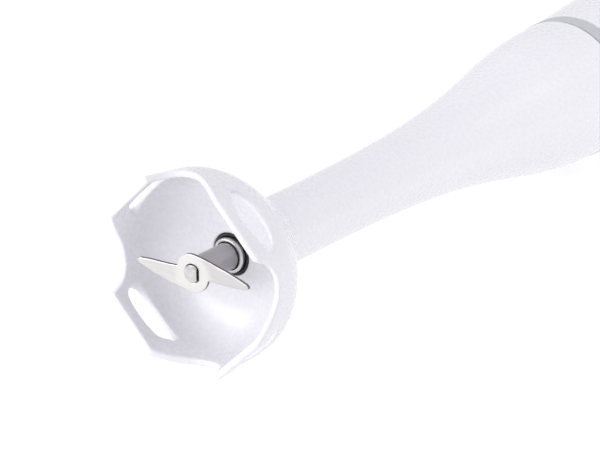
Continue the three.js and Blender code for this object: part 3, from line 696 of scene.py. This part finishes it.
def box_field(x, y, z, low, high):
    """Distance outside a box, negative inside it."""
    sides = [(low[0] - x, x - high[0]), (low[1] - y, y - high[1]), (low[2] - z, z - high[2])]
    return np.maximum.reduce(np.broadcast_arrays(*[side for pair in sides for side in pair]))


def collar_field(x, y, z):
    """The turned collar, less a stepped slot on each side for a release hook."""
    radius = np.hypot(y, z)
    across = np.abs(y)
    foot = (SLOT_START, SLOT_FLOOR, -SLOT_HALF)
    near = box_field(x, across, z, foot, (SLOT_STEP, SLOT_MOUTH, SLOT_HALF))
    far = box_field(x, across, z, foot, (SLOT_END, SLOT_ROOF, SLOT_HALF))
    return rounded_common([collar_distance(x, radius), -near, -far], SHELL_EDGE)


show("joint_collar", *skin_of(collar_field, (196, -26, -26), (225, 26, 26), 0.65), grey_plastic,
     "motor_body", "pale_grey_plastic", ["coupling_collar"])
RING_X, RING_REACH, RING_HALF = 204.3, 20.95, 0.75
round_steps = np.linspace(0, 2 * math.pi, 13)[:-1]
ring_profile = [(RING_X + RING_HALF * math.cos(t), RING_REACH + RING_HALF * math.sin(t))
                for t in round_steps]
show("joint_ring", *turned(ring_profile, 144), black_rubber, "motor_body", "black_rubber", ["joint_seal"])

# ---- Handle housing ----
# Two gloss white shells, front and back, moulded in three millimetres of plastic. They meet along a
# fine seam and four screws hold them together. The shape is a rounded oval, fuller at the back where
# the palm lies.

HOUSING_START = 211.9
HOUSING_END = 358
HANDLE_END = 381
DOME_START = 352
DOME_POWER = 2.6
REST_DEPTH = 30.7
HOUSING_WALL = 3
PAD_DEPTH = 1.4
GAP = 0.3
HALF_WIDTHS = [(212, 25.05), (225, 25.7), (245, 26.5), (270, 26.9), (300, 26.4), (330, 25.2),
               (352, 24)]
HEIGHTS = [(212, 25.05), (225, 25.8), (245, 26.9), (270, 27.6), (300, 27.2), (330, 26), (352, 24.6)]
DEPTHS = [(212, 25.05), (225, 26.6), (245, 29.4), (262, 31.4), (285, 32.2), (305, 31.2), (325, 29.2),
          (340, 27.4), (352, 26)]
SQUARENESS = [(212, 2), (260, 2.3), (352, 2.3)]
half_line, high_line, deep_line, square_line = [smooth_line(rows, 12)
                                                for rows in (HALF_WIDTHS, HEIGHTS, DEPTHS, SQUARENESS)]


def along_line(line, x):
    return np.interp(x, line[:, 0], line[:, 1])


def handle_field(x, y, z, inset=0.0):
    """Roughly the distance outside the handle's skin, or outside that skin drawn in by an inset."""
    x, y, z = np.broadcast_arrays(x, y, z)
    power = along_line(square_line, x)
    half = along_line(half_line, x) - inset
    tall = np.where(z > 0, along_line(high_line, x), along_line(deep_line, x)) - inset
    oval = ((np.abs(y) / half) ** power + (np.abs(z) / tall) ** power) ** (1 / power)
    along = np.maximum(x - DOME_START, 0) / (HANDLE_END - inset - DOME_START)
    size = (np.hypot(y, z) + 1e-6) / (oval + 1e-7)
    skin = ((oval**DOME_POWER + along**DOME_POWER) ** (1 / DOME_POWER) - 1) * size
    return np.maximum(skin, inset - REST_DEPTH - z)


def pad_outline(x, y, span, half, radius):
    """Distance outside a rounded rectangle that spans x and lies half to either side of the axis."""
    middle, reach = (span[0] + span[1]) / 2, (span[1] - span[0]) / 2
    u, v = np.abs(x - middle) - reach + radius, np.abs(y) - half + radius
    return np.hypot(np.maximum(u, 0), np.maximum(v, 0)) + np.minimum(np.maximum(u, v), 0) - radius


def oval_outline(u, v, half_u, half_v):
    """Distance outside an oval, near enough for its edge."""
    scaled = np.hypot(u / half_u, v / half_v) + 1e-6
    return (scaled - 1) * np.hypot(u, v) / scaled


PANEL_SPAN, PANEL_HALF, PANEL_RADIUS = (308, 354), 11, 9
GRIP_SPAN, GRIP_HALF, GRIP_RADIUS = (236, 338), 15.5, 13
BUTTON_X = {"low": 320, "high": 341}
BUTTON_HALF = (7.6, 8)
RELEASE_X = 221
RELEASE_HALF = (6.8, 5.8)
SCREW_PLACES = [(300, -19.5), (300, 19.5), (351.5, -13), (351.5, 13)]
BOSS_RADIUS, HEAD_RECESS, HEAD_Z, SCREW_HOLE = 3.6, 2.8, -18.9, 1.8
BOSS_TOP = -2
SIDES_FROM = 12
SHELL_PITCH = 0.8


def button_holes(x, y, gap):
    """Distance outside the outlines of the two speed buttons, each a gap wider."""
    return np.minimum.reduce([oval_outline(x - place, y, BUTTON_HALF[0] + gap, BUTTON_HALF[1] + gap)
                              for place in BUTTON_X.values()])


def shell_field(x, y, z):
    """The wall that both shells share, with the openings for the release buttons."""
    wall = -handle_field(x, y, z, HOUSING_WALL)
    opening = oval_outline(x - RELEASE_X, z, RELEASE_HALF[0] + GAP, RELEASE_HALF[1] + GAP)
    side = np.where(np.abs(y) > SIDES_FROM, opening, FAR)
    return [handle_field(x, y, z), wall, -side, HOUSING_START - x, x - HOUSING_END]


def recess(x, y, z, span, half, radius):
    """The shallow bed that a pad is stuck in, on the side where it is negative."""
    return -np.maximum(pad_outline(x, y, span, half + GAP, radius), -handle_field(x, y, z, PAD_DEPTH + GAP))


def front_field(x, y, z):
    bed = recess(x, y, z, (PANEL_SPAN[0] - GAP, PANEL_SPAN[1] + GAP), PANEL_HALF, PANEL_RADIUS)
    walls = shell_field(x, y, z)
    return rounded_common([*walls, GAP / 2 - z, bed, -button_holes(x, y, GAP)], SHELL_EDGE)


def back_field(x, y, z):
    skin, wall, *openings = shell_field(x, y, z)
    screw = np.minimum.reduce([np.hypot(x - a, y - b) for a, b in SCREW_PLACES])
    boss = np.maximum(screw - BOSS_RADIUS, z - BOSS_TOP)
    hole = np.minimum(np.maximum(screw - HEAD_RECESS, z - HEAD_Z), screw - SCREW_HOLE)
    bed = recess(x, y, z, (GRIP_SPAN[0] - GAP, GRIP_SPAN[1] + GAP), GRIP_HALF, GRIP_RADIUS)
    return rounded_common([skin, np.minimum(wall, boss), *openings, z + GAP / 2, bed, -hole],
                          SHELL_EDGE)


show("front_housing_shell", *skin_of(front_field, (211, -27.6, -0.6), (359, 27.6, 28.4), SHELL_PITCH),
     moulded_white, "motor_body", "white_plastic", ["housing_front"])
show("back_housing_shell", *skin_of(back_field, (211, -27.6, -31.6), (359, 27.6, 0.6), SHELL_PITCH),
     moulded_white, "motor_body", "white_plastic", ["housing_back"])

# ---- Button panel ----
# A thin satin grey inlay glued into its bed in the front shell. The two speed buttons stand through it.


def panel_field(x, y, z):
    return rounded_common([handle_field(x, y, z), -handle_field(x, y, z, PAD_DEPTH),
                           pad_outline(x, y, PANEL_SPAN, PANEL_HALF, PANEL_RADIUS),
                           -button_holes(x, y, GAP)], 0.3)


show("panel_inlay", *skin_of(panel_field, (307, -12, 18), (355, 12, 28), 0.5), grey_plastic, "motor_body",
     "pale_grey_plastic", ["button_panel"])

# ---- Grip ----
# A soft grey pad, moulded on to the palm side of the back shell, with shallow ribs across it for a wet
# hand. The blender rests on its flat.

RIB_SPACING = 3.4
RIB_DEPTH = 0.45
RIB_SHARE = 0.45
GRIP_BORDER = 2.5
GRIP_TOP = -8


def grip_field(x, y, z):
    outline = pad_outline(x, y, GRIP_SPAN, GRIP_HALF, GRIP_RADIUS)
    inside = np.clip(-(outline + GRIP_BORDER), 0, 1)
    groove = np.maximum(np.cos(2 * math.pi * x / RIB_SPACING) - RIB_SHARE, 0) / (1 - RIB_SHARE)
    skin = handle_field(x, y, z) + RIB_DEPTH * groove * inside
    return rounded_common([skin, -handle_field(x, y, z, PAD_DEPTH), outline, z - GRIP_TOP], 0.35)


grip_rubber = rubber("grip_rubber", (0.27, 0.28, 0.30), (0.34, 0.35, 0.37), 0.72, 3, 0.04)
show("grip_pad", *skin_of(grip_field, (235, -16.5, -31.6), (339, 16.5, -16), 0.55), grip_rubber,
     "motor_body", "grip_rubber", ["rear_grip"])

# ---- Speed buttons ----
# Two oval caps of satin grey plastic, moulded with a stem that presses the switch below. One raised dot
# marks the low speed, and two the high speed.

BUTTON_RISE = 1.2
DISH_DEPTH, DISH_RADIUS = 0.5, 6
DOT_RADIUS = 0.9
DOT_RISE = 0.35
DOT_EDGE = 0.4
CAP_UNDERSIDE = 20.4
STEM_RADIUS, STEM_FOOT = 1.8, 17.9
DOT_PLACES = {"low": [(0, 0)], "high": [(0, -1.6), (0, 1.6)]}


def button_field(place, dots):
    """The field of one speed button, whose dots are places from its middle."""
    def field(x, y, z):
        u = x - place
        dish = DISH_DEPTH * np.maximum(1 - (u / DISH_RADIUS) ** 2 - (y / DISH_RADIUS) ** 2, 0)
        top = handle_field(x, y, z, -BUTTON_RISE) + dish
        for across, along in dots:
            inward = DOT_RADIUS - np.hypot(u - across, y - along)
            top = top - DOT_RISE * np.clip(inward / DOT_EDGE + 0.5, 0, 1)
        cap = rounded_common([top, oval_outline(u, y, *BUTTON_HALF), CAP_UNDERSIDE - z], 0.55)
        stem = rounded_common([np.hypot(u, y) - STEM_RADIUS, STEM_FOOT - z, z - CAP_UNDERSIDE - 0.5],
                              0.3)
        return np.minimum(cap, stem)
    return field


for name, place in BUTTON_X.items():
    points, faces = skin_of(button_field(place, DOT_PLACES[name]), (place - 8.2, -8.6, 17.4),
                            (place + 8.2, 8.6, 29), 0.4)
    show(name + "_speed_cap", points, faces, grey_plastic, name + "_speed_key", "pale_grey_plastic",
         [name + "_speed_button"])

# ---- Release buttons ----
# An oval pad on each side of the handle, moulded in one with the arm and hook that hold the stick.
# Three ridges on the pad give the thumb a hold.

ARM_X, ARM_Y, ARM_TOP, ARM_HALF = 198, 18, 19.6, 3.5
HOOK_END, HOOK_FOOT, HOOK_TOP = 200.4, 18.6, 20.1
PAD_RISE = 0.6
RIDGE_RISE, RIDGE_SPACING, RIDGE_SPAN = 0.3, 3, 5


def release_field(side):
    """The field of one release button, on the side of the handle where y has that sign."""
    def field(x, y, z):
        across = y * side
        u = x - RELEASE_X
        wave = np.maximum(np.cos(2 * math.pi * u / RIDGE_SPACING) - 0.2, 0)
        ridge = RIDGE_RISE * wave * np.clip(RIDGE_SPAN - np.hypot(u, z), 0, 1)
        pad = rounded_common([handle_field(x, y, z, -PAD_RISE) - ridge, oval_outline(u, z, *RELEASE_HALF),
                              ARM_Y - across], 0.5)
        arm = rounded_common([box_field(x, across, z, (ARM_X, ARM_Y, -ARM_HALF),
                                        (RELEASE_X, ARM_TOP, ARM_HALF))], 0.2)
        hook = box_field(x, across, z, (ARM_X, HOOK_FOOT, -ARM_HALF), (HOOK_END, HOOK_TOP, ARM_HALF))
        return np.minimum.reduce([pad, arm, hook])
    return field


for name, side in (("left", 1), ("right", -1)):
    low, high = sorted((side * 17.4, side * 27.4))
    points, faces = skin_of(release_field(side), (197.4, low, -6.4), (228.6, high, 6.4), 0.4)
    show(name + "_release_pad", points, faces, grey_plastic, name + "_release", "pale_grey_plastic",
         [name + "_release_button"])

# ---- End cap ----
# A gloss white dome that closes the handle behind the two shells. Five slits on each side let the
# motor's cooling air in, and the cord gland sits in its middle.

GLAND_RADIUS = 5.6
VENT_SPACING, VENT_HALF = 4, 0.8
VENT_SPAN = (362, 371)
VENTS_FROM = 14


def end_cap_field(x, y, z):
    """The dome behind the shells, less its slits and the hole for the gland."""
    nearest = VENT_SPACING * np.clip(np.round(z / VENT_SPACING), -2, 2)
    slit = np.abs(z - nearest) - VENT_HALF
    middle, reach = (VENT_SPAN[0] + VENT_SPAN[1]) / 2, (VENT_SPAN[1] - VENT_SPAN[0]) / 2
    vent = np.maximum(np.maximum(slit, np.abs(x - middle) - reach), VENTS_FROM - np.abs(y))
    hole = np.hypot(y, z) - GLAND_RADIUS - GAP
    return rounded_common([handle_field(x, y, z), -handle_field(x, y, z, HOUSING_WALL),
                           HOUSING_END + GAP - x, -vent, -hole], 0.35)


show("end_cap_shell", *skin_of(end_cap_field, (357.6, -24.6, -26.8), (381.8, 24.6, 25.4), 0.6),
     moulded_white, "motor_body", "white_plastic", ["end_cap"])

# ---- Cord gland ----
# A short collar of grey rubber that the supply cord comes out of, with grip rings, held by its flange
# in the cap.

gland_profile = [(373, 3.4), (373, 7.4), (375.2, 7.4), (375.2, GLAND_RADIUS)]
for start in (381.4, 382.6, 383.8):
    gland_profile += [(start, GLAND_RADIUS - 0.1), (start + 0.2, GLAND_RADIUS - 0.5),
                      (start + 0.5, GLAND_RADIUS - 0.5), (start + 0.7, GLAND_RADIUS - 0.2)]
gland_profile += [(385, 4.9), (385, 3.4)]
show("cord_gland_sleeve", *turned(eased(gland_profile, 0.25, 3), 96), grip_rubber, "motor_body",
     "grip_rubber", ["cord_gland"], sharp=50)

# ---- Housing screws ----
# Four zinc-plated screws with pan heads, driven from the back through their wells into the front shell.

HEAD_TOP, HEAD_HEIGHT, HEAD_RADIUS = -21, 1.8, 2.5
SCREW_RADIUS, SCREW_TIP = 1.45, 9
THREAD_PITCH, THREAD_DEPTH, THREAD_START = 1.1, 0.14, -15
CROSS_HALF, CROSS_REACH, CROSS_DEPTH = 0.4, 1.5, 1.1
zinc_steel = metal("zinc_steel", (0.42, 0.43, 0.45), (0.62, 0.63, 0.65), 0.36, (1.5, 1.5, 1.5))


def screw_field(a, b):
    """The field of one screw that stands along z at the place (a, b)."""
    def field(x, y, z):
        u, v = x - a, y - b
        radius = np.hypot(u, v)
        turn = np.arctan2(v, u) / (2 * math.pi)
        thread = THREAD_DEPTH * np.cos(2 * math.pi * (z / THREAD_PITCH - turn)) * (z > THREAD_START)
        dome = HEAD_TOP - z + 0.5 * (radius / HEAD_RADIUS) ** 2
        head = rounded_common([radius - HEAD_RADIUS, dome, z - HEAD_TOP - HEAD_HEIGHT], 0.25)
        wide, tall = np.abs(u), np.abs(v)
        arms = np.minimum(np.maximum(wide - CROSS_HALF, tall - CROSS_REACH),
                          np.maximum(tall - CROSS_HALF, wide - CROSS_REACH))
        shank = np.maximum.reduce([radius - SCREW_RADIUS + 0.1 + thread, HEAD_TOP + 1 - z, z - SCREW_TIP])
        cross = np.maximum(arms, z - HEAD_TOP - CROSS_DEPTH)
        return np.minimum(np.maximum(head, -cross), shank)
    return field


for k, (a, b) in enumerate(SCREW_PLACES, 1):
    points, faces = skin_of(screw_field(a, b), (a - 2.9, b - 2.9, -21.4), (a + 2.9, b + 2.9, 9.6), 0.3)
    show(f"housing_screw_driven_{k}", points, faces, zinc_steel, "motor_body", "zinc_steel",
         [f"housing_screw_{k}"])

# ---- Inside the stick ----
# A plated guide tube keeps the shaft straight, a grey plate closes the stick's top round a sintered
# bronze bearing, and a steel ring there is what the latches hold. A nylon washer takes the blade's
# thrust, a clip holds the shaft, and a dark plastic socket is driven by the motor.


def give_finish(finish, *names):
    """Gives CAD nodes, whose shape is right as it is, their finish."""
    for name in names:
        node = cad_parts[name]
        if not node.material_slots:
            node.data.materials.append(None)
        for place in node.material_slots:
            place.material = finish


sintered_bronze = metal("sintered_bronze", (0.34, 0.20, 0.10), (0.58, 0.38, 0.21), 0.55, (5, 5, 5))
natural_nylon = satin_plastic("natural_nylon", (0.68, 0.65, 0.56), (0.76, 0.73, 0.64), 0.48)
dark_plastic = satin_plastic("dark_plastic", (0.030, 0.033, 0.038), (0.048, 0.052, 0.060), 0.45)
give_finish(zinc_steel, "shaft_guide_tube", "catch_ring", "retaining_clip")
give_finish(grey_plastic, "stick_plate")
give_finish(sintered_bronze, "upper_bearing")
give_finish(natural_nylon, "thrust_washer")
give_finish(dark_plastic, "stick_coupler")

# ---- Motor ----
# A drawn and plated can with two ferrite magnets, a laminated core wound with enamelled copper, a
# copper commutator, bronze bearings and a nylon fan. Rubber rings hold the can, and a plastic bracket
# its front.

ferrite = rubber("ferrite", (0.030, 0.030, 0.033), (0.060, 0.060, 0.064), 0.62, 5, 0.02)
laminated_steel = metal("laminated_steel", (0.22, 0.22, 0.23), (0.46, 0.46, 0.48), 0.42, (2, 0.05, 0.05))
wound_copper = metal("wound_copper", (0.36, 0.12, 0.045), (0.70, 0.30, 0.13), 0.32, (3.5, 0.5, 0.5), 0.4)
bare_copper = metal("bare_copper", (0.50, 0.23, 0.11), (0.72, 0.38, 0.22), 0.30, (0.4, 3, 3))
give_finish(zinc_steel, "motor_can")
give_finish(ferrite, "upper_magnet", "lower_magnet")
give_finish(laminated_steel, "armature_core")
give_finish(wound_copper, "front_winding", "rear_winding")
give_finish(bare_copper, "commutator")
give_finish(turned_steel, "motor_shaft")
give_finish(sintered_bronze, "front_bearing", "rear_bearing")
give_finish(natural_nylon, "cooling_fan")
give_finish(dark_plastic, "motor_coupler", "motor_bracket")
give_finish(black_rubber, "front_mount_ring", "rear_mount_ring")

# ---- Brush gear and circuit board ----
# Carbon brushes run in a dark plastic carrier behind the can. Two rubber-covered leads join them to a
# lacquered board with the rectifier, the capacitor and the two switches.

pressed_carbon = rubber("pressed_carbon", (0.016, 0.016, 0.018), (0.036, 0.036, 0.039), 0.5, 6, 0.02)
green_lacquer = satin_plastic("green_lacquer", (0.025, 0.12, 0.055), (0.045, 0.18, 0.085), 0.35, 0.02)
sleeved_lead = rubber("sleeved_lead", (0.016, 0.016, 0.018), (0.028, 0.028, 0.032), 0.5, 1.5)
give_finish(dark_plastic, "brush_carrier", "rectifier", "capacitor", "low_speed_switch",
            "high_speed_switch")
give_finish(pressed_carbon, "left_carbon_brush", "right_carbon_brush")
give_finish(sleeved_lead, "left_motor_lead", "right_motor_lead")
give_finish(green_lacquer, "circuit_board")

# ---- Button springs ----
# Four coil springs of plated wire, one behind each button. Each stands on what is fixed behind its button.

WIRE_RADIUS = 0.3
SPRING_TURNS = 3
SPEED_COIL, RELEASE_COIL = 3.2, 2.4
SPEED_SEAT, RELEASE_SEAT = 15.9, 13.9
RELEASE_COIL_X = RELEASE_X - 2
SPRING_REST_GAP = 0.4


def wound(radius, seat, top, steps=32, sides=12):
    """A coil spring round z from its seat to its top, a round wire closed at both ends."""
    count = SPRING_TURNS * steps
    turn = 2 * math.pi * np.arange(count + 1)[:, None] / steps
    section = 2 * math.pi * np.arange(sides) / sides
    reach = radius + WIRE_RADIUS * np.cos(section)
    rise = np.linspace(seat + WIRE_RADIUS, top - WIRE_RADIUS, count + 1)[:, None]
    height = rise + WIRE_RADIUS * np.sin(section)
    points = np.stack([reach * np.cos(turn), reach * np.sin(turn), height], 2).reshape(-1, 3)
    last = count * sides
    faces = [tuple(range(sides)), tuple(last + s for s in reversed(range(sides)))]
    for a in range(0, last, sides):
        faces += [(a + s, a + s + sides, a + (s + 1) % sides + sides, a + (s + 1) % sides)
                  for s in range(sides)]
    return points, faces


for name, place in BUTTON_X.items():
    points, faces = wound(SPEED_COIL, SPEED_SEAT, CAP_UNDERSIDE - SPRING_REST_GAP)
    coil = show(name + "_speed_coil", points + (place, 0, 0), faces, zinc_steel, "motor_body",
                "zinc_steel", [name + "_speed_spring"], sharp=50)
    to_frame((place, 0, SPEED_SEAT))
    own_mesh(coil)
for name, side in (("left", 1), ("right", -1)):
    points, faces = wound(RELEASE_COIL, RELEASE_SEAT, ARM_Y - SPRING_REST_GAP)
    points = np.stack([points[:, 0] + RELEASE_COIL_X, side * points[:, 2], -side * points[:, 1]], 1)
    coil = show(name + "_release_coil", points, faces, zinc_steel, "motor_body", "zinc_steel",
                [name + "_release_spring"], sharp=50)
    to_frame((RELEASE_COIL_X, side * RELEASE_SEAT, 0))
    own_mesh(coil)
